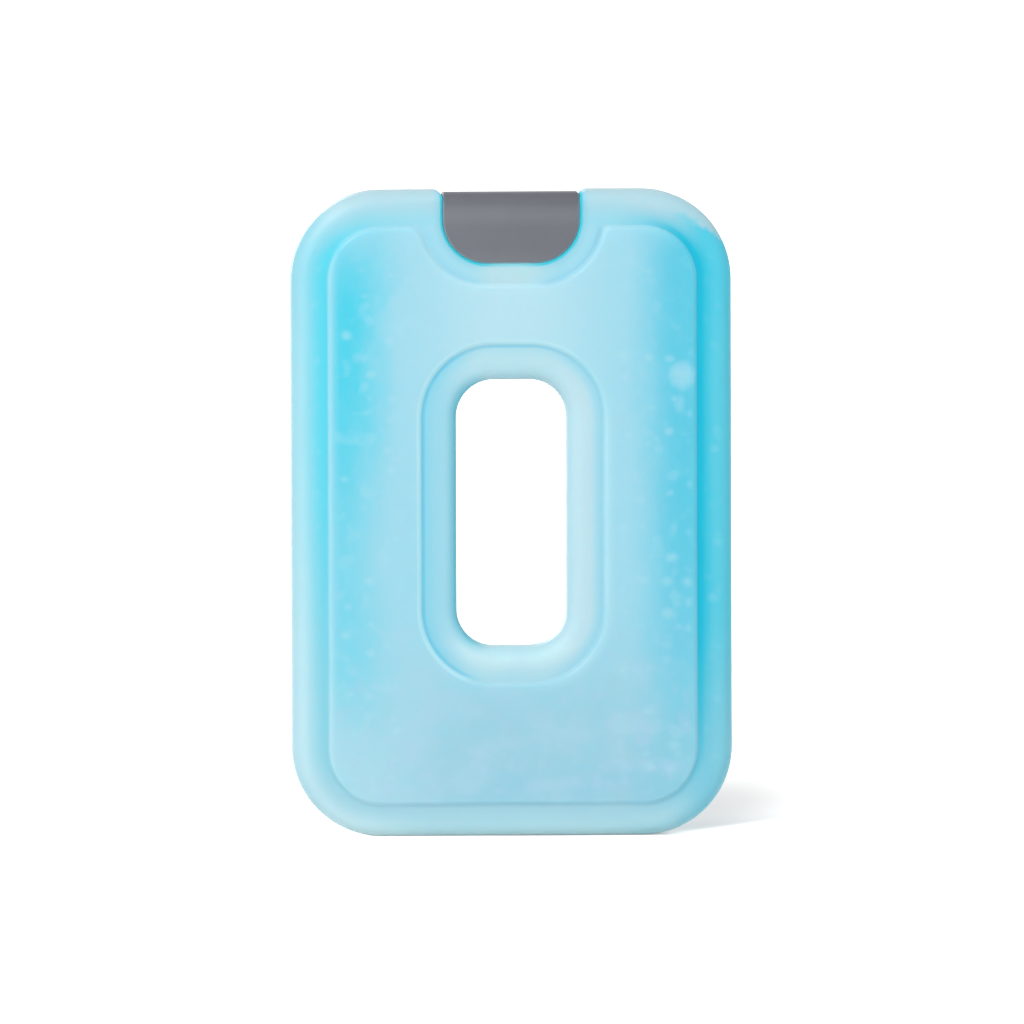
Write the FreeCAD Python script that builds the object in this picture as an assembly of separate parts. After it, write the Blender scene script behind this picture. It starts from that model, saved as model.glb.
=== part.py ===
"""A slim ice pack: a blown, translucent shell with a hand hole, filled with a freezing liquid.

The shell is one hollow blow moulding with a raised panel on both faces, a rolled rim round its outline and
round the hand hole, and a notch in its top edge. A filler neck stands on the notch's floor, closed by a
welded plug and hidden under a moulded cap that clips over it. The frozen filling lies inside.

The frame: +Z up, the front face looks along -Y, and the origin is under the middle of the flat bottom edge.
"""

import FreeCAD, Part
import math
import os

from FreeCAD import Vector

# Driving sizes, in millimetres and degrees
PACK_WIDTH = 140.0
PACK_HEIGHT = 205.5
PACK_THICKNESS = 20.0
PACK_CORNER = 28.5
WALL = 1.8
FACE_WALL = 1.4

EDGE_BAND = 8.4
SIDE_ROUND_SHARE = 0.93

PANEL_INSET = 11.8
PANEL_RISE = 1.0
PANEL_HORN_ROUND = 3.0

EYE_WIDTH = 34.8
EYE_ABOVE_BASE = 60.5
EYE_BELOW_NOTCH = 37.0
EYE_CORNER = 11.8

NOTCH_DEPTH = 23.5
NOTCH_MARGIN = 7.2
NOTCH_LEAD = 1.2

NECK_RADIUS = 5.0
NECK_BORE_RADIUS = 3.25
NECK_HEIGHT = 7.0
BEAD_HEIGHT = 1.2
BEAD_REACH = 0.35
BEAD_BELOW_TOP = 2.0

CAP_WIDTH = 43.4
CAP_THICKNESS = 17.2
CAP_CORNER = 14.0
CAP_DROP = 1.0
CAP_GAP = 0.35
CAP_TOP_ROUND = 4.0
CAP_CHAMFER = 0.5
CAP_WALL = 2.2
SOCKET_WALL = 1.7
SOCKET_CLEARANCE = 0.15
RIB_THICKNESS = 1.6
RIB_DEPTH = 9.0

PLUG_CLEARANCE = 0.05
PLUG_HEAD_RADIUS = 4.5
PLUG_HEAD_HEIGHT = 1.4
PLUG_STEM_LENGTH = 7.5

FILL_GAP = 0.1
HEADSPACE = 7.0

# How far a cutting tool runs past what it cuts, and how near two places are to be the same
OVERSHOOT = 2.0
SAME = 1e-4

# Sizes that follow from the driving ones
MIDDLE = PACK_HEIGHT / 2
RIM_HALF = PACK_THICKNESS / 2 - PANEL_RISE
BAND_HALF = EDGE_BAND / 2
RIM_RISE = RIM_HALF - BAND_HALF
SIDE_ROUND = SIDE_ROUND_SHARE * RIM_RISE
FACE_ROUND = (RIM_RISE - SIDE_ROUND * math.sin(math.pi / 4)) / (1 - math.cos(math.pi / 4))
NOTCH_WIDTH = CAP_WIDTH + 2 * CAP_GAP
NOTCH_CORNER = CAP_CORNER + CAP_GAP
NOTCH_FLOOR = PACK_HEIGHT - NOTCH_DEPTH
EYE_TOP = NOTCH_FLOOR - EYE_BELOW_NOTCH
EYE_HEIGHT = EYE_TOP - EYE_ABOVE_BASE
EYE_MIDDLE = (EYE_TOP + EYE_ABOVE_BASE) / 2
NECK_TOP = NOTCH_FLOOR + NECK_HEIGHT
BEAD_MIDDLE = NECK_TOP - BEAD_BELOW_TOP
CAP_TOP = PACK_HEIGHT - CAP_DROP
CAP_BOTTOM = NOTCH_FLOOR + CAP_GAP
SOCKET_RADIUS = NECK_RADIUS + SOCKET_CLEARANCE
SOCKET_ROOF = NECK_TOP + PLUG_HEAD_HEIGHT + CAP_GAP


def outline(corners):
    """A closed wire in the XZ-plane through (x, z, radius) corners, each rounded to its radius."""
    edges = []
    starts = []
    ends = []
    arcs = []
    count = len(corners)
    for i, (x, z, radius) in enumerate(corners):
        here = Vector(x, 0, z)
        back = Vector(corners[i - 1][0], 0, corners[i - 1][1]) - here
        ahead = Vector(corners[(i + 1) % count][0], 0, corners[(i + 1) % count][1]) - here
        back.normalize()
        ahead.normalize()
        half_angle = back.getAngle(ahead) / 2
        reach = radius / math.tan(half_angle)
        bisector = (back + ahead).normalize()
        centre = here + bisector * (radius / math.sin(half_angle))
        starts.append(here + back * reach)
        ends.append(here + ahead * reach)
        arcs.append(centre - bisector * radius)
    for i in range(count):
        if corners[i][2] > 0:
            edges.append(Part.Arc(starts[i], arcs[i], ends[i]).toShape())
        edges.append(Part.LineSegment(ends[i], starts[(i + 1) % count]).toShape())
    return Part.Wire(edges)


def rounded_rectangle(width, height, corner, middle):
    """A flat rounded rectangle whose centre is at the height of middle."""
    x = width / 2
    low = middle - height / 2
    high = middle + height / 2
    return Part.Face(outline([(-x, low, corner), (x, low, corner), (x, high, corner), (-x, high, corner)]))


def notch_face(grow):
    """The notch in the top edge, larger all round by grow and open above the pack."""
    x = NOTCH_WIDTH / 2 + grow
    bottom = NOTCH_FLOOR - grow
    above = PACK_HEIGHT + OVERSHOOT
    radius = NOTCH_CORNER + grow
    return Part.Face(outline([(-x, bottom, radius), (x, bottom, radius), (x, above, 0), (-x, above, 0)]))


def plate(face, half_thickness):
    """A flat face made a plate, as thick to the front as to the back."""
    start = face.copy()
    start.translate(Vector(0, -half_thickness, 0))
    return start.extrude(Vector(0, 2 * half_thickness, 0))


def rim_profile(radius, inward, inset, face_half, reach):
    """The face that makes a rimmed edge when it is spread round a rounded rectangle.

    Radius is the edge's distance from the corner's axis, and inward is -1 where the solid lies nearer that
    axis and 1 where it lies further out. From the flat edge band, a side round and a larger face round each
    turn half way to the flat of the face. The hollow, inset from that, has a bevel in place of both rounds.
    The flat lies face_half from the middle plane, and the profile's ends reach that far.
    """
    eighth = math.pi / 4
    bevel_end = BAND_HALF + (SIDE_ROUND - inset) * math.tan(eighth / 2)
    if inset > 0:
        flat_depth = inset + face_half - bevel_end
        band_half = bevel_end
    else:
        flat_depth = FACE_ROUND + (SIDE_ROUND - FACE_ROUND) * (1 - math.cos(eighth))
        band_half = BAND_HALF

    def at(depth, height):
        return Vector(radius + inward * depth, height, 0)

    def round_arc(size, centre_depth, centre_height, start, side):
        angles = [start, start + eighth / 2, start + eighth]
        points = [
            at(centre_depth - size * math.cos(angle), side * (centre_height + size * math.sin(angle)))
            for angle in angles
        ]
        return Part.Arc(*points).toShape()

    edges = []
    for side in (-1, 1):
        if inset > 0:
            bevel = at(inset, side * band_half), at(flat_depth, side * face_half)
            edges.append(Part.LineSegment(*bevel).toShape())
        else:
            edges.append(round_arc(SIDE_ROUND, SIDE_ROUND, BAND_HALF, 0, side))
            edges.append(round_arc(FACE_ROUND, flat_depth, face_half - FACE_ROUND, eighth, side))
    band = [at(inset, -band_half), at(inset, band_half)]
    ends = [
        at(flat_depth, -face_half),
        at(flat_depth, -reach),
        Vector(0, -reach, 0),
        Vector(0, reach, 0),
        at(flat_depth, reach),
        at(flat_depth, face_half),
    ]
    for a, b in [band, *zip(ends, ends[1:])]:
        if a.distanceToPoint(b) > SAME:
            edges.append(Part.LineSegment(a, b).toShape())
    return Part.Face(Part.Wire(Part.sortEdges(edges)[0]))


def spread(profile, width, height, corner, middle):
    """A rounded rectangle whose edge has that profile: four straight runs, four quarter turns and a core."""
    half_x = width / 2 - corner
    half_z = height / 2 - corner
    thickness = profile.BoundBox.YLength
    core = Part.makeBox(2 * half_x, thickness, 2 * half_z, Vector(-half_x, -thickness / 2, -half_z))
    pieces = []
    for quarter in range(4):
        out, along = (half_x, half_z) if quarter % 2 == 0 else (half_z, half_x)
        start = profile.copy()
        start.translate(Vector(out, 0, -along))
        end = profile.copy()
        end.translate(Vector(out, 0, along))
        run = start.extrude(Vector(0, 0, 2 * along))
        turn = end.revolve(Vector(out, 0, along), Vector(0, -1, 0), 90)
        for piece in (run, turn):
            piece.rotate(Vector(0, 0, 0), Vector(0, -1, 0), 90 * quarter)
            pieces.append(piece)
    whole = core.multiFuse(pieces).removeSplitter()
    whole.translate(Vector(0, 0, middle))
    return whole


def panel_plate():
    """The raised panels of both faces as one plate with chamfered edges.

    Its outline keeps clear of the rims of the pack, the eye and the notch, and its two horns beside the
    notch are rounded: an offset inwards and back out rounds every corner that is sharper.
    """
    half = PACK_THICKNESS / 2
    field = rounded_rectangle(
        PACK_WIDTH - 2 * PANEL_INSET, PACK_HEIGHT - 2 * PANEL_INSET, PACK_CORNER - PANEL_INSET, MIDDLE
    )
    eye_rim = rounded_rectangle(
        EYE_WIDTH + 2 * PANEL_INSET, EYE_HEIGHT + 2 * PANEL_INSET, EYE_CORNER + PANEL_INSET, EYE_MIDDLE
    )
    notched = field.cut(notch_face(NOTCH_MARGIN)).Faces[0]
    rounded = notched.makeOffset2D(-PANEL_HORN_ROUND).makeOffset2D(PANEL_HORN_ROUND)
    panel = plate(rounded.cut(eye_rim), half)
    rims = [
        edge
        for edge in panel.Edges
        if edge.BoundBox.YLength < SAME and abs(abs(edge.BoundBox.YMin) - half) < SAME
    ]
    return panel.makeChamfer(PANEL_RISE, rims)


def notch_edges(body):
    """The closed run of edges where the notch's walls meet the faces and the top edge."""
    walls = Part.Compound(
        [
            face
            for face in plate(notch_face(0), PACK_THICKNESS).Faces
            if abs(face.normalAt(0, 0).y) < SAME
        ]
    )
    found = []
    for edge in body.Edges:
        middle = edge.valueAt((edge.FirstParameter + edge.LastParameter) / 2)
        points = [middle, *(vertex.Point for vertex in edge.Vertexes)]
        on_wall = all(walls.distToShape(Part.Vertex(point))[0] < SAME for point in points)
        box = edge.BoundBox
        straight_across = box.XLength < SAME and box.ZLength < SAME
        between_walls = straight_across and box.ZMax < PACK_HEIGHT - SAME
        if on_wall and not between_walls:
            found.append(edge)
    return found


def plain_pack(inset, face_half):
    """The pack's form without its panels, with the hand hole and the notch cut out."""
    pack_rim = rim_profile(PACK_CORNER, -1, inset, face_half, face_half)
    eye_rim = rim_profile(EYE_CORNER, 1, inset, face_half, PACK_THICKNESS / 2 + OVERSHOOT)
    slab = spread(pack_rim, PACK_WIDTH, PACK_HEIGHT, PACK_CORNER, MIDDLE)
    eye = spread(eye_rim, EYE_WIDTH, EYE_HEIGHT, EYE_CORNER, EYE_MIDDLE)
    return slab.cut(eye).cut(plate(notch_face(inset), PACK_THICKNESS))


def outside():
    """The pack's outside, with a lead-in round the notch and the raised panels."""
    body = plain_pack(0, RIM_HALF)
    body = body.makeChamfer(NOTCH_LEAD, notch_edges(body))
    return body.fuse(panel_plate()).removeSplitter()


def hollow(gap):
    """The hollow inside the wall, or the form that lies gap inside it."""
    return plain_pack(WALL + gap, RIM_HALF - FACE_WALL - gap).removeSplitter()


def ring(radius, reach):
    """The snap bead round the neck, or the groove for it: two short cones, foot to foot."""
    half = BEAD_HEIGHT / 2
    lower = Part.makeCone(radius, radius + reach, half, Vector(0, 0, BEAD_MIDDLE - half))
    upper = Part.makeCone(radius + reach, radius, half, Vector(0, 0, BEAD_MIDDLE))
    return lower.fuse(upper)


def shell():
    """The blown shell, with its filler neck on the notch's floor."""
    neck = Part.makeCylinder(
        NECK_RADIUS, NECK_HEIGHT + WALL / 2, Vector(0, 0, NOTCH_FLOOR - WALL / 2)
    )
    bore = Part.makeCylinder(
        NECK_BORE_RADIUS,
        NECK_HEIGHT + WALL + 2 * OVERSHOOT,
        Vector(0, 0, NOTCH_FLOOR - WALL - OVERSHOOT),
    )
    body = outside().fuse([neck, ring(NECK_RADIUS, BEAD_REACH)])
    return body.cut(hollow(0)).cut(bore)


def coolant():
    """The frozen filling: the shell's hollow, up to the fill line."""
    level = PACK_HEIGHT - HEADSPACE
    above = Part.makeBox(
        PACK_WIDTH,
        PACK_THICKNESS,
        HEADSPACE + OVERSHOOT,
        Vector(-PACK_WIDTH / 2, -PACK_THICKNESS / 2, level),
    )
    return hollow(FILL_GAP).cut(above)


def filler_plug():
    """The plug that is welded into the filler neck."""
    stem_radius = NECK_BORE_RADIUS - PLUG_CLEARANCE
    stem = Part.makeCylinder(stem_radius, PLUG_STEM_LENGTH, Vector(0, 0, NECK_TOP - PLUG_STEM_LENGTH))
    head = Part.makeCylinder(PLUG_HEAD_RADIUS, PLUG_HEAD_HEIGHT, Vector(0, 0, NECK_TOP))
    return stem.fuse(head)


def cap_body():
    """The cap's outside: a plate that fills the notch, with rounded top edges and broken outline edges."""
    x = CAP_WIDTH / 2
    half = CAP_THICKNESS / 2
    corners = [
        (-x, CAP_BOTTOM, CAP_CORNER),
        (x, CAP_BOTTOM, CAP_CORNER),
        (x, CAP_TOP, 0),
        (-x, CAP_TOP, 0),
    ]
    body = plate(Part.Face(outline(corners)), half)
    top_edges = [
        edge
        for edge in body.Edges
        if edge.BoundBox.ZMin > CAP_TOP - SAME and edge.BoundBox.YLength < SAME
    ]
    body = body.makeFillet(CAP_TOP_ROUND, top_edges)
    outline_edges = [
        edge
        for edge in body.Edges
        if edge.BoundBox.XLength < SAME
        and abs(edge.BoundBox.XMin) > x - SAME
        and edge.BoundBox.ZMax > CAP_BOTTOM + CAP_CORNER + SAME
    ]
    outline_edges += [
        edge
        for edge in body.Edges
        if edge.BoundBox.YLength < SAME
        and abs(edge.BoundBox.YMin) > half - SAME
        and edge.BoundBox.ZMax < CAP_BOTTOM + CAP_CORNER + SAME
    ]
    return body.makeChamfer(CAP_CHAMFER, outline_edges)


def cap():
    """The moulded cap: hollow from below, with a socket that clips over the neck's bead and a rib."""
    roof = CAP_TOP - CAP_WALL
    half_x = CAP_WIDTH / 2 - CAP_WALL
    half_y = CAP_THICKNESS / 2 - CAP_WALL
    low = CAP_BOTTOM - OVERSHOOT
    pocket = Part.makeBox(2 * half_x, 2 * half_y, roof - low, Vector(-half_x, -half_y, low))
    boss = Part.makeCylinder(
        SOCKET_RADIUS + SOCKET_WALL, roof - CAP_BOTTOM + CAP_WALL / 2, Vector(0, 0, CAP_BOTTOM)
    )
    rib = Part.makeBox(
        2 * half_x + CAP_WALL,
        RIB_THICKNESS,
        RIB_DEPTH + CAP_WALL / 2,
        Vector(-half_x - CAP_WALL / 2, -RIB_THICKNESS / 2, roof - RIB_DEPTH),
    )
    bore = Part.makeCylinder(SOCKET_RADIUS, SOCKET_ROOF - low, Vector(0, 0, low))
    groove = ring(SOCKET_RADIUS, BEAD_REACH)
    return cap_body().cut(pocket).fuse([boss, rib]).cut(bore.fuse(groove)).removeSplitter()


def main():
    os.makedirs("parts", exist_ok=True)
    pieces = {
        "shell": shell(),
        "coolant": coolant(),
        "filler_plug": filler_plug(),
        "cap": cap(),
    }
    for name, piece in pieces.items():
        solids = piece.Solids
        print(name, len(solids), "solid", piece.isValid(), round(piece.Volume / 1000, 2), "cm3")
        Part.Compound(solids).exportStep(f"parts/{name}.step")


main()
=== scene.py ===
"""The look of a slim blown ice pack: a frosted blue skin over a frozen filling, with a grey moulded cap.

Sizes are in metres, in the frame of the CAD model: the front face looks along -Y and +Z is up.
"""

import math

import bpy
import numpy as np
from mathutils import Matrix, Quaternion, Vector


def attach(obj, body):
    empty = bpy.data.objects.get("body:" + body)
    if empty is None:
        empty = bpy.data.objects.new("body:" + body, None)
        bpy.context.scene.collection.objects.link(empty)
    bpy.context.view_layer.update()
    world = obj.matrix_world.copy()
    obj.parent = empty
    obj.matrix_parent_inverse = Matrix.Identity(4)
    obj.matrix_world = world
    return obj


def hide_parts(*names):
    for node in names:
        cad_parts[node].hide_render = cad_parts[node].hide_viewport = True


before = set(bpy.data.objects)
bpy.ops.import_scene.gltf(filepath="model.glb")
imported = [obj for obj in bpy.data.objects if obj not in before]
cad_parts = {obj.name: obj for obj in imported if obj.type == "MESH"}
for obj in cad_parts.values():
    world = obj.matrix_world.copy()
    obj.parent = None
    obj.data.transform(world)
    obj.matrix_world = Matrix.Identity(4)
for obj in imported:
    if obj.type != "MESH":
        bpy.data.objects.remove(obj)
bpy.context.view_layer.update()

MM = 0.001

# The pack's outline, hand hole and notch
HALF_WIDTH = 70.0 * MM
HEIGHT = 205.5 * MM
MIDDLE = HEIGHT / 2
CORNER = 28.5 * MM
EYE_HALF_WIDTH = 17.4 * MM
EYE_HALF_HEIGHT = 42.25 * MM
EYE_CORNER = 11.8 * MM
CAP_GAP = 0.35 * MM
NOTCH_HALF_WIDTH = 21.7 * MM + CAP_GAP
NOTCH_CORNER = 14.0 * MM + CAP_GAP
NOTCH_FLOOR = HEIGHT - 23.5 * MM

# Half the height of the box that stands for the notch in distances, so that it is open above the pack
NOTCH_HALF_REACH = 60.0 * MM

# The section of the rims, from the edge band to the flat of the face
BAND_HALF = 4.2 * MM
RIM_HALF = 9.0 * MM
PANEL_HALF = 10.0 * MM
EIGHTH = math.pi / 4
SIDE_ROUND = 0.93 * (RIM_HALF - BAND_HALF)
FACE_ROUND = (RIM_HALF - BAND_HALF - SIDE_ROUND * math.sin(EIGHTH)) / (1 - math.cos(EIGHTH))
FLAT_DEPTH = FACE_ROUND + (SIDE_ROUND - FACE_ROUND) * (1 - math.cos(EIGHTH))

# The walls of the notch, nearer to the cap than the solid's by NOTCH_TIGHT, and their round
NOTCH_TIGHT = 0.44 * MM
NOTCH_ROUND = 1.0 * MM

# The soft step up to the raised panel: its foot is nearer to the bottom edge than to the others by
# FOOT_LESS, and it opens by NOTCH_FLARE towards the notch's top
STEP_START = 10.7 * MM
FOOT_LESS = 1.1 * MM
EYE_STEP_START = 10.9 * MM
NOTCH_STEP_START = 5.3 * MM
STEP_WIDTH = 1.9 * MM
NOTCH_STEP_WIDTH = 2.3 * MM
NOTCH_FLARE = 1.6 * MM
EYE_STEP_WIDTH = 1.9 * MM
EDGE_HORN = 3.0 * MM
PANEL_HORN = 4.4 * MM

# The filler neck under the cap
NECK_RADIUS = 5.0 * MM
NECK_BORE = 3.25 * MM
NECK_TOP = NOTCH_FLOOR + 7.0 * MM
BEAD_MIDDLE = NECK_TOP - 2.0 * MM
BEAD_HALF = 0.6 * MM
BEAD_REACH = 0.35 * MM
BORE_BELOW_FLOOR = 3.0 * MM
OVERRUN = 1.0 * MM

# The skin's rows: beside the parting line, round each rim, and over the panel
PARTING_ROWS = (0.0, 0.35 * MM, 0.8 * MM)
ROUND_STEPS = 8
PANEL_ROWS = 30
RELIEF_SEED = 7.0

# The large clump of ice and its tail: across, up, half width and half height, in millimetres
CLUMP = (54.0, 146.4, 4.0, 4.9)
CLUMP_TAIL = (52.9, 137.6, 2.4, 3.8)
FLECK_SPACING = 7.4 * MM

# The studio, and the camera, which aims a little to the right of the middle
FLOOR_REACH = 14.0
FLOOR_GREY = 0.86
SHADOW_STRENGTH = 0.8
SURROUND_LIGHT = 0.53
CAMERA_DISTANCE = 9.0
CAMERA_RIGHT = 0.3 * MM
SENSOR_WIDTH = 36.0
VIEW_WIDTH = 0.3252


def srgb(red, green, blue):
    """A display colour from 0 to 255 as the linear colour that a shader takes."""
    linear = []
    for part in (red, green, blue):
        part /= 255
        linear.append(part / 12.92 if part <= 0.04045 else ((part + 0.055) / 1.055) ** 2.4)
    return (*linear, 1.0)


class Field:
    """A node's output, on which arithmetic adds Math nodes."""

    def __init__(self, net, socket):
        self.net = net
        self.socket = socket

    def _math(self, operation, *values):
        return self.net.add("ShaderNodeMath", values, operation=operation)

    def __add__(self, other):
        return self._math("ADD", self, other)

    __radd__ = __add__

    def __sub__(self, other):
        return self._math("SUBTRACT", self, other)

    def __rsub__(self, other):
        return self._math("SUBTRACT", other, self)

    def __mul__(self, other):
        return self._math("MULTIPLY", self, other)

    __rmul__ = __mul__

    def __truediv__(self, other):
        return self._math("DIVIDE", self, other)

    def __rtruediv__(self, other):
        return self._math("DIVIDE", other, self)

    def __abs__(self):
        return self._math("ABSOLUTE", self)

    def least(self, other):
        return self._math("MINIMUM", self, other)

    def most(self, other):
        return self._math("MAXIMUM", self, other)

    def root(self):
        return self._math("SQRT", self)

    def rise(self, low, high):
        """0 below low, 1 above high and smooth between them."""
        settings = {"interpolation_type": "SMOOTHSTEP"}
        inputs = {"Value": self, "From Min": low, "From Max": high}
        return self.net.add("ShaderNodeMapRange", inputs, **settings)

    def fall(self, low, high):
        """1 below low, 0 above high and smooth between them."""
        return 1 - self.rise(low, high)

    def bell(self, middle, width):
        """1 at the middle, 0 further off than the width."""
        return abs(self - middle).fall(0.0, width)


class Net:
    """A node tree that is written as expressions."""

    def __init__(self, tree):
        self.tree = tree

    def add(self, kind, inputs=(), output=0, **settings):
        """Adds a node: its settings first, then the values or links of its sockets."""
        node = self.tree.nodes.new(kind)
        for name, value in settings.items():
            setattr(node, name, value)
        pairs = inputs.items() if isinstance(inputs, dict) else enumerate(inputs)
        for key, value in pairs:
            if isinstance(value, Field):
                self.tree.links.new(value.socket, node.inputs[key])
            else:
                node.inputs[key].default_value = value
        return Field(self, node.outputs[output]) if len(node.outputs) else node

    def place(self):
        """The surface's place in its object's own coordinates."""
        return self.add("ShaderNodeTexCoord", output="Object")

    def parts(self, vector):
        """The x, y and z of a vector."""
        node = self.add("ShaderNodeSeparateXYZ", [vector]).socket.node
        return [Field(self, socket) for socket in node.outputs]

    def vector(self, x, y, z):
        return self.add("ShaderNodeCombineXYZ", [x, y, z])

    def noise(self, place, size, detail=2.0, roughness=0.5, distortion=0.0):
        """Soft noise about 0.5 whose lumps are about that size in metres."""
        inputs = {
            "Vector": place,
            "Scale": 1 / size,
            "Detail": detail,
            "Roughness": roughness,
            "Distortion": distortion,
        }
        return self.add("ShaderNodeTexNoise", inputs)

    def blend(self, first, second, share):
        """The first colour, turned to the second by share."""
        node = self.tree.nodes.new("ShaderNodeMix")
        node.data_type = "RGBA"
        sockets = [s for s in node.inputs if s.type == "RGBA"]
        factor = [s for s in node.inputs if s.type == "VALUE"][0]
        for socket, value in ((factor, share), (sockets[0], first), (sockets[1], second)):
            if isinstance(value, Field):
                self.tree.links.new(value.socket, socket)
            else:
                socket.default_value = value
        return Field(self, [s for s in node.outputs if s.type == "RGBA"][0])

    def layered(self, colour, *layers):
        """A colour with others laid over it in turn, each of them as (colour, share)."""
        for over, share in layers:
            colour = self.blend(colour, over, share)
        return colour

    def bump(self, height, strength, distance):
        """A normal that leans with a height."""
        return self.add("ShaderNodeBump", {"Strength": strength, "Distance": distance, "Height": height})

    def seen(self):
        """1 where the camera sees a surface, directly or in gloss or glass, and 0 where it lights others."""
        path = self.add("ShaderNodeLightPath").socket.node
        seen = Field(self, path.outputs["Is Camera Ray"])
        for name in ("Is Glossy Ray", "Is Transmission Ray"):
            seen = seen.most(Field(self, path.outputs[name]))
        return seen

    def end_in_mix(self, share, first, second, kind):
        """Ends a tree in the first shader, turned to the second by share."""
        mix = self.tree.nodes.new("ShaderNodeMixShader")
        output = self.tree.nodes.new(kind)
        self.tree.links.new(share.socket, mix.inputs[0])
        self.tree.links.new(first.outputs[0], mix.inputs[1])
        self.tree.links.new(second.outputs[0], mix.inputs[2])
        self.tree.links.new(mix.outputs[0], output.inputs["Surface"])


def new_material(name):
    """An empty material and its net."""
    material = bpy.data.materials.new(name)
    material.use_nodes = True
    material.node_tree.nodes.clear()
    return material, Net(material.node_tree)


def end_in_plastic(net, colour, roughness, bump, constants):
    """Ends a material in one Principled shader. Constants are set on the shader's own sockets."""
    shader = net.tree.nodes.new("ShaderNodeBsdfPrincipled")
    for name, value in constants.items():
        shader.inputs[name].default_value = value
    for name, value in (("Base Color", colour), ("Roughness", roughness), ("Normal", bump)):
        net.tree.links.new(value.socket, shader.inputs[name])
    output = net.tree.nodes.new("ShaderNodeOutputMaterial")
    net.tree.links.new(shader.outputs["BSDF"], output.inputs["Surface"])


def length(first, second):
    """The length of a vector with these two parts."""
    return (first * first + second * second).root()


def rounded_box_distance(x, z, half_x, half_z, corner):
    """How far a place is outside a rounded rectangle, and below 0 inside it."""
    over_x = abs(x) - (half_x - corner)
    over_z = abs(z) - (half_z - corner)
    return length(over_x.most(0.0), over_z.most(0.0)) + over_x.most(over_z).least(0.0) - corner


class ShellPlace:
    """Where a point of the shell lies, in millimetres, and the soft noises that vary its colour there.

    Rim, eye and notch are its distances from the pack's outline, the hand hole and the notch, and low is how
    far it lies in the duller, lower part of the filling.
    """

    def __init__(self, net):
        self.place = net.place()
        self.x, self.y, self.z = net.parts(self.place)
        x, y, z = self.x, self.y, self.z
        self.across = x / MM
        self.up = z / MM
        self.side = abs(self.across)
        eye_box = (EYE_HALF_WIDTH, EYE_HALF_HEIGHT, EYE_CORNER)
        notch_box = (NOTCH_HALF_WIDTH, NOTCH_HALF_REACH, NOTCH_CORNER)
        self.rim = rounded_box_distance(x, z - MIDDLE, HALF_WIDTH, MIDDLE, CORNER) / -MM
        self.eye = rounded_box_distance(x, z - MIDDLE, *eye_box) / MM
        self.notch = rounded_box_distance(x, z - (NOTCH_FLOOR + NOTCH_HALF_REACH), *notch_box) / MM
        self.cloud = net.noise(self.place, 26 * MM, 3.0, 0.55, 0.3)
        self.blotch = net.noise(net.vector(x, y * 0.3, z * 0.7), 6 * MM, 3.0, 0.6, 0.5)
        self.haze = net.noise(net.vector(x * 0.8, y * 0.3, z), 13 * MM, 3.0, 0.5, 0.2)
        self.speckle = net.noise(self.place, 2.6 * MM, 2.0, 0.5)
        self.low = (self.up + (self.cloud - 0.5) * 30.0).fall(18.0, 84.0)


def cloudy_middle(net, at):
    """The cloudy middle of the frozen filling, paler above the hand hole and duller below it."""
    low_tone = net.blend(srgb(182, 225, 236), srgb(166, 214, 229), at.across.rise(-57.0, -10.0))
    return net.layered(
        srgb(168, 222, 237),
        (srgb(190, 228, 239), at.side.fall(3.0, 40.0) * at.up.rise(100.0, 150.0)),
        (low_tone, at.low),
        (srgb(188, 222, 237), at.haze.rise(0.48, 0.66) * at.low * 0.4),
        (srgb(152, 211, 231), at.haze.fall(0.32, 0.50) * at.low * 0.25),
    )


def with_side_bands(net, at, colour):
    """The colour with a clear band towards each side, ragged at its inner edge."""
    across, up = at.across, at.up
    thinned = (1.14 - at.blotch * 0.3).least(1.0)
    ragged = across + (at.blotch - 0.5) * 6.0 + (at.cloud - 0.5) * 8.0
    inner = ragged + up.bell(100.0, 45.0) * 3.0 - up.rise(160.0, 190.0) * 3.0
    left = across.rise(-58.9, -54.3) * inner.fall(-52.6, -33.5) * up.fall(170.0, 203.0)
    left = left * (up.rise(16.0, 62.0) * 0.52 + up.rise(80.0, 150.0) * 0.48)
    right = ragged.rise(35.0, 54.0) * up.fall(186.0, 202.0) * (up.rise(0.0, 106.0) * 0.8 + 0.2)
    return net.layered(
        colour, (srgb(86, 216, 236), left * thinned), (srgb(101, 209, 231), right * thinned)
    )


def outer_rim_tone(net, at):
    """The rim along the outline: pale at the left, clear blue at the right up to the air in its corner. It
    is paler along the bottom, as painted light against the shade of the edge turning down, and has a painted
    highlight at the top left corner.
    """
    across, up = at.across, at.up
    # At the left: paler at the bottom, painted light against the shade of the lower edge, and at the top
    # corner, a painted highlight
    left_tone = net.layered(
        srgb(202, 232, 240),
        (srgb(175, 226, 237), up.rise(30.0, 140.0)),
        (srgb(168, 223, 236), up.rise(140.0, 180.0)),
        (srgb(192, 230, 239), up.rise(188.0, 203.0)),
    )
    right_tone = net.layered(
        srgb(138, 211, 228),
        (srgb(96, 211, 231), up.rise(20.0, 80.0)),
        (srgb(87, 210, 232), up.rise(150.0, 176.0)),
    )
    left_edge = at.rim.fall(0.5, 4.5) * across.fall(-64.0, -56.0) * (0.3 + up.rise(150.0, 186.0) * 0.4)
    # Above 0 in the air, whose ragged lower edge slants down to the right
    air = up + across * 0.59 - 229.6 + (at.speckle - 0.5) * 5.0
    return net.layered(
        srgb(185, 223, 232),
        (srgb(184, 219, 229), up.rise(60.0, 150.0)),
        # Paler along the bottom, most at the left and less at the right: painted light against the shade of
        # the edge turning down
        (srgb(196, 233, 240), up.fall(0.0, 7.0) * 0.8),
        (srgb(212, 238, 243), up.fall(4.0, 16.0) * across.fall(-50.0, -24.0) * 0.7),
        (srgb(174, 220, 230), up.fall(2.0, 12.0) * across.rise(24.0, 46.0) * 0.7),
        (left_tone, across.fall(-68.0, -46.0)),
        (srgb(150, 214, 230), left_edge),
        (right_tone, across.rise(46.0, 62.0) * (1 - air.rise(-1.6, 1.6) * 0.9)),
    )


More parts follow.
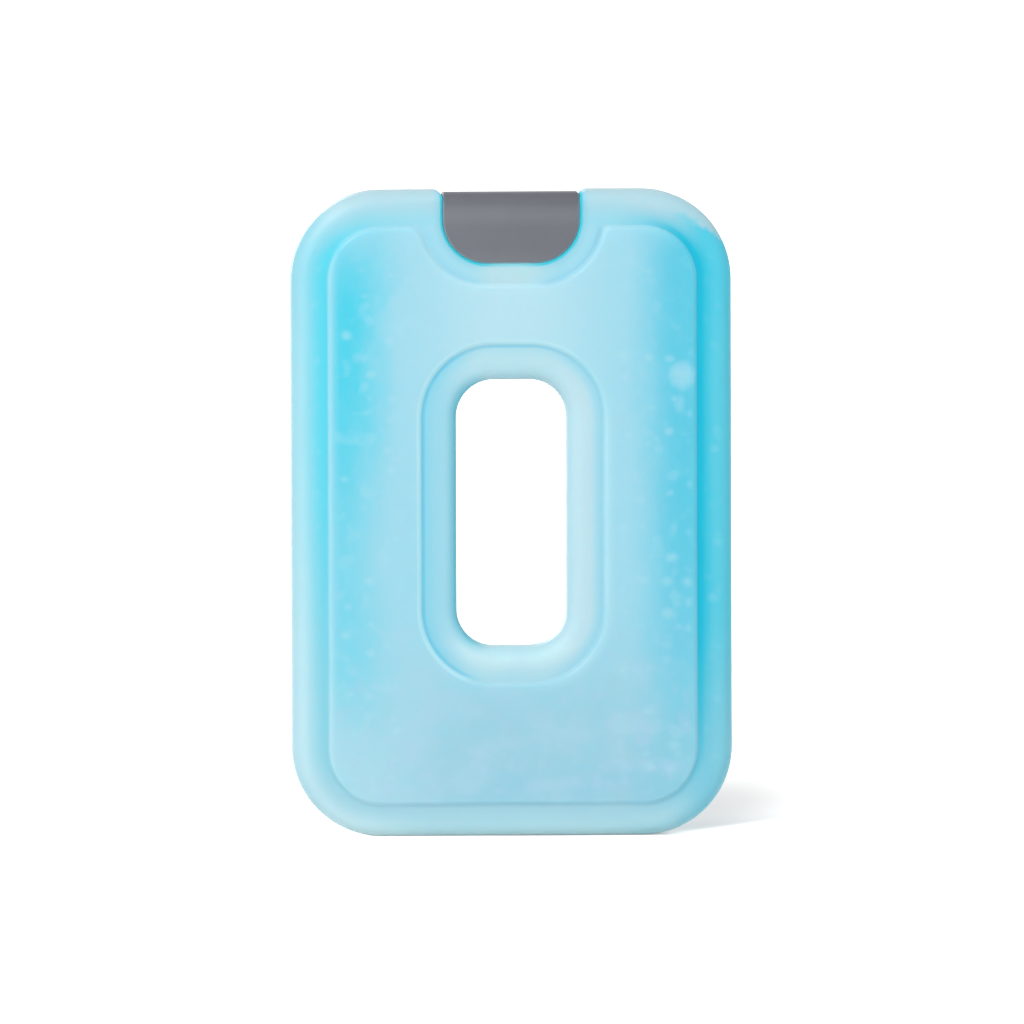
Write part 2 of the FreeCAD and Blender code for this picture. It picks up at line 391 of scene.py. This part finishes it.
def gutter_tone(net, at):
    """The gutter between the rim and the panel's step, clear and saturated at both sides; at the right its
    deep blue is partly the clear filling and partly painted shade of the raised panel's step, which is
    turned from the lamp.
    """
    across, up = at.across, at.up
    left = across.fall(-52.0, -28.0) * up.rise(0.0, 30.0) * (1 - up.rise(184.0, 201.0) * 0.88)
    left = left * up.rise(-50.0, 150.0) * (0.9 + up.rise(20.0, 110.0) * 0.1)
    # The right side: the clear filling and painted shade of the panel's step
    right = across.rise(28.0, 52.0) * (1 - up.rise(184.0, 203.0) * 0.75)
    right = right * (up + across * 0.6).rise(10.0, 112.0)
    return net.layered(
        srgb(172, 217, 229),
        (srgb(164, 223, 237), up.rise(60.0, 150.0)),
        (srgb(98, 222, 240), left),
        (srgb(16, 198, 223), right),
    )


def with_outer_rim(net, at, colour):
    """The colour with the rim along the outline and its gutter, up to the step of the panel, with its
    deepest blue beside the step at the right partly the clear filling and partly painted shade of the step.
    """
    across, up, rim = at.across, at.up, at.rim
    gutter_start = across.rise(30.0, 50.0) * 3.2 + 1.8
    # Beside the step at the right: the deepest blue, partly the clear filling and partly painted shade of
    # the step
    blue_and_step_shade = rim.rise(8.6, 10.2) * across.rise(40.0, 56.0) * up.fall(184.0, 203.0)
    tone = net.layered(
        outer_rim_tone(net, at),
        (gutter_tone(net, at), rim.rise(gutter_start, 10.6)),
        (srgb(0, 197, 225), blue_and_step_shade * (up + across * 0.6).rise(20.0, 140.0)),
    )
    to_step = rim + up.fall(8.0, 20.0) * (FOOT_LESS / MM) - across.fall(-60.0, -50.0) * 0.25
    return net.blend(colour, tone, to_step.fall(11.0, 11.6))


def with_eye_rim(net, at, colour):
    """The colour with the hand hole's rim, which is pale with a bluer groove beside its step, and painted
    light and shade: bluer with painted shade at its left, which is turned from the lamp, paler to the right
    and on the round below the hole, and painted light and shade along its step.
    """
    across, up, side, eye = at.across, at.up, at.side, at.eye
    painted_shade_left_wall = across.fall(-16.0, -6.0)
    # Painted light and shade: the ring is bluer and its left wall darker where they are turned from the
    # lamp, and paler to the right and on the round below the hole, which face it
    tone = net.layered(
        srgb(160, 219, 235),
        (srgb(190, 227, 236), across.rise(-27.0, -10.0)),
        (srgb(197, 228, 237), across.rise(6.0, 24.0)),
        (srgb(138, 217, 236), eye.rise(6.5, 11.3) * (side.rise(8.0, 24.0) * 0.40 + 0.25)),
        (srgb(96, 206, 228), eye.fall(0.3, 4.5) * painted_shade_left_wall * 0.62),
        (srgb(212, 240, 245), eye.bell(4.6, 4.0) * up.fall(58.0, 66.0) * 0.5),
        (srgb(78, 188, 210), eye.fall(0.3, 1.6) * painted_shade_left_wall * 0.75),
    )
    # Along the step: where it is turned from the lamp, a bluer foot as painted shade and a paler slope as
    # painted light against the step's shade; painted shade on the slope at the lower right and a painted
    # highlight where the right of the step is lit
    step_away_from_lamp = across.fall(-20.0, -8.0).most(up.rise(148.0, 160.0))
    foot = eye.rise(10.0, 10.8) * eye.fall(11.0, 11.8)
    slope = eye.rise(11.2, 11.9) * eye.fall(12.5, 13.3)
    painted_shade_low_right = across.rise(4.0, 16.0) * up.fall(64.0, 84.0)
    lit = eye.rise(10.8, 12.4) * eye.fall(12.8, 16.0) * across.rise(4.0, 22.0) * up.fall(120.0, 150.0)
    return net.layered(
        colour,
        (tone, eye.fall(11.2, 12.6)),
        (srgb(92, 208, 236), foot * step_away_from_lamp * 0.5),
        (srgb(198, 240, 250), slope * step_away_from_lamp * 0.6),
        (srgb(136, 202, 224), slope * painted_shade_low_right * 0.3),
        (srgb(194, 231, 241), lit * 0.4),
    )


def with_notch_rim(net, at, colour):
    """The colour with the notch's rim, a thin clear line where the wall turns down beside the cap, and
    painted shade on the step at its right, which faces the lamp.
    """
    across, up, side, notch = at.across, at.up, at.side, at.notch
    tone = net.layered(
        srgb(170, 224, 239),
        (srgb(189, 226, 235), side.fall(5.0, 17.0)),
        (srgb(158, 220, 239), notch.rise(3.0, 7.0) * side.rise(5.0, 15.0) * 0.8),
    )
    # Painted shade: the step at the notch's right faces the lamp, and is painted darker to tone down its
    # light
    painted_shade_step = notch.rise(5.2, 6.0) * notch.fall(6.8, 8.0) * across.rise(6.0, 16.0) * at.rim.rise(11.0, 12.8)
    beside_cap = notch.rise(0.4, 0.9) * notch.fall(0.9, 3.2) * side.rise(6.0, 16.0)
    return net.layered(
        colour,
        (tone, notch.fall(5.4, 7.6) * up.fall(189.0, 201.0)),
        (srgb(132, 200, 222), painted_shade_step * 0.35),
        (srgb(62, 203, 227), notch.fall(0.3, 1.2) * (side.rise(2.0, 12.0) * 0.45 + 0.55)),
        (srgb(150, 212, 232), beside_cap * 0.6),
    )


def lump(at, across, up, half_width, half_height, uneven):
    """0 in the middle of an ellipse on the face and 1 at its edge, apart from the unevenness."""
    x = (at.across - across) / half_width
    z = (at.up - up) / half_height
    return x * x + z * z + uneven


def ice_flecks(net, at):
    """How much pale ice shows: soft flecks at both sides, fainter frost, and one larger clump."""
    across, up, rim = at.across, at.up, at.rim
    wander = net.noise(at.place, 5.0 * MM, 1.0, 0.5) - 0.5
    cells = net.add(
        "ShaderNodeTexVoronoi",
        {
            "Vector": net.vector(at.x + wander * 1.6 * MM, at.z * 1.25 - wander * 1.3 * MM, 0.0),
            "Scale": 1 / FLECK_SPACING,
            "Randomness": 1.0,
        },
        voronoi_dimensions="2D",
    )
    chance, size, _ = net.parts(Field(net, cells.socket.node.outputs["Color"]))
    likely = chance + across.rise(40.0, 52.0) * up.fall(84.0, 104.0) * 0.14
    likely = likely - across.fall(-40.0, -30.0) * up.fall(110.0, 130.0) * 0.12
    reach = across.rise(40.0, 50.0) * up.fall(84.0, 110.0) * 0.08 + size * 0.17 + 0.22
    flecks = cells.fall(0.02, reach) * likely.rise(0.60, 0.68) * (0.18 + size * 0.26)
    frost = net.noise(net.vector(at.x, 0.0, at.z), 6.2 * MM, 1.0, 0.5)
    on_panel = rim.rise(12.0, 14.5) * up.fall(180.0, 198.0)
    on_rim = rim.rise(2.0, 5.0) * rim.fall(8.0, 10.0) * 0.4
    fewer = 1 - across.rise(10.0, 40.0) * up.rise(150.0, 160.0) * 0.4
    flecks = flecks.most(frost.rise(0.54, 0.72) * 0.2)
    flecks = flecks * at.side.rise(26.0, 38.0) * on_panel.most(on_rim) * fewer
    uneven = (at.speckle - 0.5) * 0.4 + (at.blotch - 0.5) * 1.2
    clump = lump(at, *CLUMP, uneven)
    tail = lump(at, *CLUMP_TAIL, uneven * 1.6)
    return flecks.most(clump.fall(-0.1, 1.6) * 0.6).most(tail.fall(-0.2, 1.3) * 0.3)


def frosted_shell():
    """The blown wall and what shows through it, with painted light and shade along its rims, painted on an
    opaque plastic that scatters light.
    """
    material, net = new_material("frosted_blue_shell")
    at = ShellPlace(net)
    colour = cloudy_middle(net, at)
    for with_more in (with_side_bands, with_outer_rim, with_eye_rim, with_notch_rim):
        colour = with_more(net, at, colour)
    patch = net.noise(net.vector(at.x, 0.0, at.z * 1.2), 7.5 * MM, 2.0, 0.5, 0.2)
    lilac = patch.rise(0.48, 0.68) * at.low * at.rim.rise(12.0, 16.0) * 0.45
    colour = net.layered(colour, (srgb(184, 217, 237), lilac), (srgb(190, 230, 242), ice_flecks(net, at)))

    grain = net.noise(at.place, 0.55 * MM, 3.0, 0.6)
    flow = net.noise(net.vector(at.x, at.y, at.z * 0.6), 11 * MM, 2.0, 0.5, 0.4)
    roughness = 0.38 + grain * 0.08 + (at.cloud - 0.5) * 0.08 + at.notch.fall(0.0, 1.5) * 0.3
    constants = {
        "IOR": 1.5,
        "Specular IOR Level": 0.3,
        "Subsurface Weight": 0.85,
        "Subsurface Radius": (0.5, 0.9, 1.0),
        "Subsurface Scale": 0.0036,
    }
    end_in_plastic(net, colour, roughness, net.bump(grain * 0.5 + flow * 2.0, 0.3, 0.05 * MM), constants)
    return material


def moulded_cap():
    """Grey injection-moulded plastic with a fine spark-eroded grain, and painted light and shade: lighter
    towards the left, a painted highlight band below the top, painted shade where its top turns over, lighter
    at its foot and a painted highlight along its edges.
    """
    material, net = new_material("moulded_grey")
    place = net.place()
    x, _, z = net.parts(place)
    up = z / MM
    grain = net.noise(place, 0.35 * MM, 3.0, 0.65)
    cloud = net.noise(place, 9 * MM, 3.0, 0.5)
    # Grain and cloud are the plastic's own tone; the rest is painted light and shade: lighter towards the
    # left, where the lamp is, a painted highlight band at 197.5 mm, lighter at the foot and painted shade on
    # the top that turns over
    tone = grain * 0.3 + cloud * 0.3 + x.fall(-22 * MM, 22 * MM) * 0.2
    tone = tone + up.bell(197.5, 4.5) * 0.35 + up.fall(182.0, 188.0) * 0.2 - up.rise(199.5, 202.0) * 0.3
    colour = net.blend(srgb(102, 105, 112), srgb(124, 127, 134), tone)
    # A painted highlight along the cap's edge, which offsets the shade of the gap round it
    outline = (NOTCH_HALF_WIDTH - CAP_GAP, NOTCH_HALF_REACH, NOTCH_CORNER - CAP_GAP)
    middle = NOTCH_FLOOR + CAP_GAP + NOTCH_HALF_REACH
    edge = rounded_box_distance(x, z - middle, *outline) / -MM
    colour = net.blend(colour, srgb(176, 181, 188), edge.fall(0.05, 0.6) * 0.9)
    roughness = 0.55 + grain * 0.12
    bump = net.bump(grain, 0.6, 0.04 * MM)
    end_in_plastic(net, colour, roughness, bump, {"IOR": 1.5, "Specular IOR Level": 0.3})
    return material


def frozen_filling():
    """Cloudy blue ice with clear veins."""
    material, net = new_material("frozen_filling")
    place = net.place()
    cloud = net.noise(place, 22 * MM, 4.0, 0.6, 0.5)
    vein = net.noise(place, 5 * MM, 3.0, 0.6, 1.5)
    colour = net.blend(srgb(110, 208, 232), srgb(196, 234, 243), cloud.rise(0.35, 0.65))
    colour = net.blend(colour, srgb(226, 244, 248), vein.rise(0.6, 0.75) * 0.5)
    roughness = 0.15 + cloud * 0.15
    bump = net.bump(vein, 0.4, 0.3 * MM)
    end_in_plastic(net, colour, roughness, bump, {"IOR": 1.31})
    return material


def welded_plug():
    """Pale turned plastic with faint rings."""
    material, net = new_material("natural_plug")
    place = net.place()
    x, y, _ = net.parts(place)
    rings = net.add("ShaderNodeMath", [length(x, y) * 9000.0], operation="SINE")
    speck = net.noise(place, 0.8 * MM, 2.0)
    colour = net.blend(srgb(205, 222, 230), srgb(226, 236, 240), speck)
    roughness = 0.4 + speck * 0.15
    bump = net.bump(rings, 0.3, 0.03 * MM)
    end_in_plastic(net, colour, roughness, bump, {"IOR": 1.5})
    return material


def along(parts, count):
    """Count points spread evenly over joined lines and arcs, the last end left out.

    A line is (start, end) and an arc is (centre, radius, first angle, last angle), in x and z.
    """
    lengths = []
    for part in parts:
        if len(part) == 2:
            lengths.append(math.dist(*part))
        else:
            lengths.append(abs(part[1] * (part[3] - part[2])))
    points = []
    for k in range(count):
        reach = sum(lengths) * k / count
        for part, span in zip(parts, lengths):
            if reach < span or part is parts[-1]:
                break
            reach -= span
        share = reach / span if span > 0 else 0.0
        if len(part) == 2:
            (x0, z0), (x1, z1) = part
            points.append((x0 + (x1 - x0) * share, z0 + (z1 - z0) * share))
        else:
            (x0, z0), radius, first, last = part
            angle = first + (last - first) * share
            points.append((x0 + radius * math.cos(angle), z0 + radius * math.sin(angle)))
    return points


# How many points each stretch of half a loop has, from the middle of the bottom round to that of the top
STRETCHES = {
    "bottom": 26,
    "low_turn": 26,
    "side": 44,
    "high_turn": 26,
    "top": 12,
    "horn": 10,
    "notch": 26,
    "floor": 6,
}


def closed_loop(half, last):
    """A loop that is the same left and right, from the points of its right half and its last point."""
    right = half + [last]
    left = [(-x, z) for x, z in right[-2:0:-1]]
    return np.array(right + left)


def loop_along(stretches, last):
    """A loop through the stretches of its right half, each of joined lines and arcs, and its last point."""
    half = []
    for stretch, count in zip(stretches, STRETCHES.values()):
        half += along(stretch, count)
    return closed_loop(half, last)


def pack_loop(inset, notch_grow, horn, foot_less=0.0, flare=0.0):
    """The pack's outline with its notch, inset all round, with its two horns rounded.

    It is inset by foot_less less at the bottom than elsewhere, and flare opens the notch upwards.
    """
    corner_x = HALF_WIDTH - CORNER
    low = CORNER - foot_less
    high = HEIGHT - CORNER
    radius = CORNER - inset
    top = HEIGHT - inset
    ring = NOTCH_CORNER + notch_grow + flare
    ring_x = NOTCH_HALF_WIDTH - NOTCH_CORNER
    ring_z = NOTCH_FLOOR + NOTCH_CORNER + flare
    # The horn's round meets the notch's straight wall, or its corner where that reaches higher
    lift = top - horn - ring_z
    if lift >= 0:
        horn_x = ring_x + ring + horn
        touch = math.pi
    else:
        horn_x = ring_x + math.sqrt((ring + horn) ** 2 - lift**2)
        touch = math.atan2(-lift, ring_x - horn_x)
    horn_end = (horn_x + horn * math.cos(touch), top - horn + horn * math.sin(touch))
    wall_end = (ring_x + ring, min(ring_z, horn_end[1])) if lift >= 0 else horn_end
    right = math.pi / 2
    stretches = [
        [((0.0, low - radius), (corner_x, low - radius))],
        [((corner_x, low), radius, -right, 0.0)],
        [((corner_x + radius, low), (corner_x + radius, high))],
        [((corner_x, high), radius, 0.0, right)],
        [((corner_x, top), (horn_x, top))],
        [((horn_x, top - horn), horn, right, touch)],
        [(horn_end, wall_end), ((ring_x, ring_z), ring, touch - math.pi, -right)],
        [((ring_x, ring_z - ring), (0.0, ring_z - ring))],
    ]
    return loop_along(stretches, (0.0, ring_z - ring))


def eye_loop(grow):
    """The hand hole's outline, grown all round, with its points opposite those of the pack's outline."""
    corner_x = EYE_HALF_WIDTH - EYE_CORNER
    low = MIDDLE - EYE_HALF_HEIGHT + EYE_CORNER
    high = MIDDLE + EYE_HALF_HEIGHT - EYE_CORNER
    radius = EYE_CORNER + grow
    turns = [math.radians(angle) for angle in (0, 22, 40, 44, 90)]
    stretches = [
        [((0.0, low - radius), (corner_x, low - radius))],
        [((corner_x, low), radius, -math.pi / 2, 0.0)],
        [((corner_x + radius, low), (corner_x + radius, high))],
        *([((corner_x, high), radius, first, last)] for first, last in zip(turns, turns[1:])),
        [((corner_x, high + radius), (0.0, high + radius))],
    ]
    return loop_along(stretches, (0.0, high + radius))


def smooth(share):
    """A share that starts and ends level."""
    return share * share * (3 - 2 * share)


def notch_share():
    """For each point of a loop, how far the rim's section has turned to the notch's section."""
    half = []
    ends = {"top": (0.0, 0.35), "horn": (0.35, 1.0), "notch": (1.0, 1.0), "floor": (1.0, 1.0)}
    for name, count in STRETCHES.items():
        first, last = ends.get(name, (0.0, 0.0))
        half += [(first + (last - first) * k / count, 0.0) for k in range(count)]
    return smooth(abs(closed_loop(half, (1.0, 0.0))[:, 0]))


def rim_section():
    """Rows of (depth from the edge, height from the middle plane): band, side round, face round and flat."""
    rows = [(0.0, height) for height in (*PARTING_ROWS, 2.4 * MM, BAND_HALF)]
    for k in range(1, ROUND_STEPS + 1):
        angle = math.pi / 2 * k / ROUND_STEPS
        if k <= ROUND_STEPS / 2:
            rows.append((SIDE_ROUND * (1 - math.cos(angle)), BAND_HALF + SIDE_ROUND * math.sin(angle)))
        else:
            depth = FLAT_DEPTH - FACE_ROUND * math.cos(angle)
            rows.append((depth, RIM_HALF - FACE_ROUND * (1 - math.sin(angle))))
    return rows + [(depth * MM, RIM_HALF) for depth in (6.8, 8.4, 10.0)]


def notch_section():
    """Rows that match the rim's, for the walls of the notch: a wall, a round and the flat."""
    foot = RIM_HALF - NOTCH_ROUND
    rows = [(0.0, height) for height in (*PARTING_ROWS, foot / 2, foot)]
    for k in range(1, ROUND_STEPS + 1):
        angle = math.pi / 2 * k / ROUND_STEPS
        rows.append((NOTCH_ROUND * (1 - math.cos(angle)), foot + NOTCH_ROUND * math.sin(angle)))
    return rows + [(depth * MM, RIM_HALF) for depth in (2.4, 3.8, 5.2)]


def step_rows(width, count=7):
    """Rows of (distance past the step's start, height) for the soft step up to the panel."""
    rows = []
    for k in range(count):
        share = k / (count - 1)
        rows.append((width * share, RIM_HALF + (PANEL_HALF - RIM_HALF) * smooth(share)))
    return rows


def front_rows():
    """Every row of the front half of the skin, from the outer parting line to the hand hole's."""
    edge = pack_loop(0.0, -NOTCH_TIGHT, EDGE_HORN)
    share = notch_share()
    rows = []
    for (depth, height), (notch_depth, notch_height) in zip(rim_section(), notch_section()):
        less = FOOT_LESS * max(0.0, (depth - FLAT_DEPTH) / (STEP_START - FLAT_DEPTH))
        foot = pack_loop(STEP_START, NOTCH_STEP_START, PANEL_HORN, less, NOTCH_FLARE)
        part = depth / STEP_START * (1 - share) + notch_depth / NOTCH_STEP_START * share
        level = height * (1 - share) + notch_height * share
        rows.append((edge + (foot - edge) * part[:, None], level))
    ones = np.ones(len(edge))
    for past, height in step_rows(STEP_WIDTH):
        notch_past = past * NOTCH_STEP_WIDTH / STEP_WIDTH
        inset = STEP_START + past
        loop = pack_loop(inset, NOTCH_STEP_START + notch_past, PANEL_HORN - past, FOOT_LESS, NOTCH_FLARE)
        rows.append((loop, ones * height))
    panel_edge = rows[-1][0]
    ring_edge = eye_loop(EYE_STEP_START + EYE_STEP_WIDTH)
    for k in range(1, PANEL_ROWS):
        rows.append((panel_edge + (ring_edge - panel_edge) * k / PANEL_ROWS, ones * PANEL_HALF))
    for past, height in reversed(step_rows(EYE_STEP_WIDTH)):
        rows.append((eye_loop(EYE_STEP_START + past), ones * height))
    for depth, height in reversed(rim_section()):
        rows.append((eye_loop(depth), ones * height))
    return rows


def mesh_object(name, points, faces):
    """A new object in the scene, with a mesh of these points and faces."""
    mesh = bpy.data.meshes.new(name)
    mesh.from_pydata([tuple(point) for point in points], [], faces)
    mesh.update()
    thing = bpy.data.objects.new(name, mesh)
    bpy.context.scene.collection.objects.link(thing)
    return thing


def front_net():
    """The front half of the skin as one net of four-sided faces that look along -Y."""
    rows = front_rows()
    count = len(rows[0][0])
    points = []
    for loop, level in rows:
        points += [(x, -height, z) for (x, z), height in zip(loop, level)]
    faces = []
    for row in range(len(rows) - 1):
        for k in range(count):
            here = row * count + k
            beside = row * count + (k + 1) % count
            faces.append((here, beside, beside + count, here + count))
    return mesh_object("skin_front", points, faces)


def blown_skin_tree(material):
    """Geometry nodes that sink and swell a front half, mirror it and raise the parting line round it."""
    tree = bpy.data.node_groups.new("blown_skin", "GeometryNodeTree")
    interface = tree.interface
    interface.new_socket("Geometry", in_out="INPUT", socket_type="NodeSocketGeometry")
    sizes = {
        "Relief Depth": 0.09 * MM,
        "Relief Size": 19 * MM,
        "Sink": 0.10 * MM,
        "Parting Line Height": 0.10 * MM,
        "Parting Line Width": 0.45 * MM,
        "Seed": RELIEF_SEED,
    }
    for name, value in sizes.items():
        interface.new_socket(name, in_out="INPUT", socket_type="NodeSocketFloat").default_value = value
    interface.new_socket("Geometry", in_out="OUTPUT", socket_type="NodeSocketGeometry")
    net = Net(tree)
    source = net.add("NodeGroupInput").socket.node
    size = {name: Field(net, source.outputs[name]) for name in sizes}
    front = Field(net, source.outputs["Geometry"])
    back = net.add("GeometryNodeTransform", {"Geometry": front, "Scale": (1.0, -1.0, 1.0)})
    back = net.add("GeometryNodeFlipFaces", {"Mesh": back})
    join = tree.nodes.new("GeometryNodeJoinGeometry")
    for half in (front, back):
        tree.links.new(half.socket, join.inputs[0])
    whole = Field(net, join.outputs[0])
    whole = net.add("GeometryNodeMergeByDistance", {"Geometry": whole, "Distance": 0.005 * MM})
    place = net.add("GeometryNodeInputPosition")
    normal = net.add("GeometryNodeInputNormal")
    _, y, _ = net.parts(place)
    swell = net.add(
        "ShaderNodeTexNoise",
        {"Vector": place, "W": size["Seed"], "Scale": 1 / size["Relief Size"], "Detail": 1.0},
        noise_dimensions="4D",
    )
    line = abs(y).fall(0.0, size["Parting Line Width"])
    push = (swell - 1.0) * size["Relief Depth"] - size["Sink"] + line * size["Parting Line Height"]
    offset = net.add("ShaderNodeVectorMath", {0: normal, "Scale": push}, operation="SCALE")
    whole = net.add("GeometryNodeSetPosition", {"Geometry": whole, "Offset": offset})
    whole = net.add("GeometryNodeSetShadeSmooth", {"Geometry": whole, "Shade Smooth": True})
    whole = net.add("GeometryNodeRealizeInstances", {"Geometry": whole})
    whole = net.add("GeometryNodeSetMaterial", {"Geometry": whole, "Material": material})
    net.add("NodeGroupOutput", {"Geometry": whole})
    return tree


def grown(base, tree, name, values):
    """The plain mesh that a tree of geometry nodes makes of an object, as a new object."""
    modifier = base.modifiers.new("tree", "NODES")
    modifier.node_group = tree
    for item in tree.interface.items_tree:
        if item.in_out == "INPUT" and item.name in values:
            modifier[item.identifier] = values[item.name]
    depsgraph = bpy.context.evaluated_depsgraph_get()
    mesh = bpy.data.meshes.new_from_object(base.evaluated_get(depsgraph))
    base.modifiers.remove(modifier)
    mesh.name = name
    thing = bpy.data.objects.new(name, mesh)
    bpy.context.scene.collection.objects.link(thing)
    bpy.data.objects.remove(base)
    return thing


def lathed(name, profile, sides=64):
    """A closed solid turned about the neck's axis from (radius, height) rows that start and end on it."""
    points = [(0.0, 0.0, profile[0][1]), (0.0, 0.0, profile[-1][1])]
    rows = profile[1:-1]
    for radius, height in rows:
        for k in range(sides):
            angle = 2 * math.pi * k / sides
            points.append((radius * math.cos(angle), radius * math.sin(angle), height))
    faces = []
    for k in range(sides):
        beside = (k + 1) % sides
        last = 2 + (len(rows) - 1) * sides
        faces.append((0, 2 + beside, 2 + k))
        faces.append((1, last + k, last + beside))
        for row in range(len(rows) - 1):
            low = 2 + row * sides
            faces.append((low + k, low + beside, low + sides + beside, low + sides + k))
    return mesh_object(name, points, faces)


def apply_tool(thing, tool, operation):
    """Joins a tool to an object or cuts it out, which gives the object a new mesh."""
    modifier = thing.modifiers.new("tool", "BOOLEAN")
    modifier.object = tool
    modifier.operation = operation
    modifier.solver = "EXACT"
    mesh = bpy.data.meshes.new_from_object(thing.evaluated_get(bpy.context.evaluated_depsgraph_get()))
    thing.modifiers.remove(modifier)
    thing.data = mesh
    bpy.data.objects.remove(tool)


def add_neck(skin):
    """Joins the filler neck with its snap bead to the notch's floor and cuts its bore."""
    foot = NOTCH_FLOOR - OVERRUN
    neck = [
        (0.0, foot),
        (NECK_RADIUS, foot),
        (NECK_RADIUS, BEAD_MIDDLE - BEAD_HALF),
        (NECK_RADIUS + BEAD_REACH, BEAD_MIDDLE),
        (NECK_RADIUS, BEAD_MIDDLE + BEAD_HALF),
        (NECK_RADIUS, NECK_TOP),
        (0.0, NECK_TOP),
    ]
    pit = NOTCH_FLOOR - BORE_BELOW_FLOOR
    above = NECK_TOP + OVERRUN
    bore = [(0.0, pit), (NECK_BORE, pit), (NECK_BORE, above), (0.0, above)]
    apply_tool(skin, lathed("neck", neck), "UNION")
    apply_tool(skin, lathed("bore", bore), "DIFFERENCE")


def build_shell(material):
    """The skin that stands in for the shell's solid."""
    skin = grown(front_net(), blown_skin_tree(material), "shell_skin", {"Seed": RELIEF_SEED})
    add_neck(skin)
    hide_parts("shell")
    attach(skin, "root")


def studio_floor():
    """A pale floor that glows white where it is seen, apart from a drawn patch at the pack's right where the
    glow is dimmed, so that the lamps' soft shadow of the pack shows there.
    """
    material, net = new_material("studio_floor")
    x, y, _ = net.parts(net.place())
    # The patch is painted shadow in its shape, while the darkness in it is mostly the lamps' real shadow
    beside = x.rise(-60 * MM, 20 * MM) * (x - y * 0.10).fall(56 * MM, 122 * MM)
    shaded = beside * (y - x.most(48 * MM) * 1.6).rise(-100 * MM, -66 * MM) * y.fall(160 * MM, 520 * MM)
    lit = net.tree.nodes.new("ShaderNodeBsdfDiffuse")
    lit.inputs["Color"].default_value = (FLOOR_GREY, FLOOR_GREY, FLOOR_GREY, 1.0)
    glow = net.tree.nodes.new("ShaderNodeEmission")
    both = net.tree.nodes.new("ShaderNodeAddShader")
    net.tree.links.new(lit.outputs[0], both.inputs[0])
    net.tree.links.new(glow.outputs[0], both.inputs[1])
    net.end_in_mix(net.seen() * (1.0 - shaded * SHADOW_STRENGTH), lit, both, "ShaderNodeOutputMaterial")
    ends = (-FLOOR_REACH, FLOOR_REACH)
    floor = mesh_object("floor", [(across, back, 0) for back in ends for across in ends], [(0, 1, 3, 2)])
    floor.data.materials.append(material)


def surround():
    """An even white surround, darker for what it lights than where it is seen."""
    world = bpy.data.worlds.new("surround")
    bpy.context.scene.world = world
    world.use_nodes = True
    world.node_tree.nodes.clear()
    net = Net(world.node_tree)
    shades = []
    for strength in (SURROUND_LIGHT, 1.0):
        shade = net.tree.nodes.new("ShaderNodeBackground")
        shade.inputs["Color"].default_value = (1.0, 1.0, 1.0, 1.0)
        shade.inputs["Strength"].default_value = strength
        shades.append(shade)
    net.end_in_mix(net.seen(), *shades, "ShaderNodeOutputWorld")


def lamps():
    """Large soft lamps at the upper left, at the right and low behind the pack: place, size and power."""
    kinds = {
        "key": ((-1.2, -1.8, 1.5), 1.3, 32.0),
        "fill": ((1.8, -1.6, 0.7), 1.6, 7.0),
        "back": ((-0.8, 2.4, 0.7), 1.1, 15.0),
    }
    for name, (spot, size, power) in kinds.items():
        lamp = bpy.data.lights.new(name, "AREA")
        lamp.size = size
        lamp.energy = power
        holder = bpy.data.objects.new(name, lamp)
        holder.location = spot
        aim = Vector((0, 0, MIDDLE)) - Vector(spot)
        holder.rotation_euler = aim.to_track_quat("-Z", "Y").to_euler()
        bpy.context.scene.collection.objects.link(holder)


def camera():
    """A long lens, a little to the left of the front and a little above it."""
    left = math.radians(2.6)
    above = math.radians(3.3)
    aim = Vector((CAMERA_RIGHT, 0, MIDDLE))
    lens = bpy.data.cameras.new("camera")
    lens.sensor_width = SENSOR_WIDTH
    lens.lens = SENSOR_WIDTH * CAMERA_DISTANCE / VIEW_WIDTH
    lens.clip_end = 50.0
    holder = bpy.data.objects.new("camera", lens)
    way = Vector((-math.sin(left) * math.cos(above), -math.cos(left) * math.cos(above), math.sin(above)))
    holder.location = aim + way * CAMERA_DISTANCE
    turn = (-way).to_track_quat("-Z", "Y")
    roll = Quaternion((0, 0, 1), math.radians(-0.18))
    holder.rotation_euler = (turn @ roll).to_euler()
    bpy.context.scene.collection.objects.link(holder)
    bpy.context.scene.camera = holder


bpy.context.scene.view_settings.view_transform = "Standard"
camera()
studio_floor()
surround()
lamps()
build_shell(frosted_shell())
for node, material in (
    ("cap", moulded_cap()),
    ("coolant", frozen_filling()),
    ("filler_plug", welded_plug()),
):
    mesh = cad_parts[node].data
    mesh.materials.clear()
    mesh.materials.append(material)
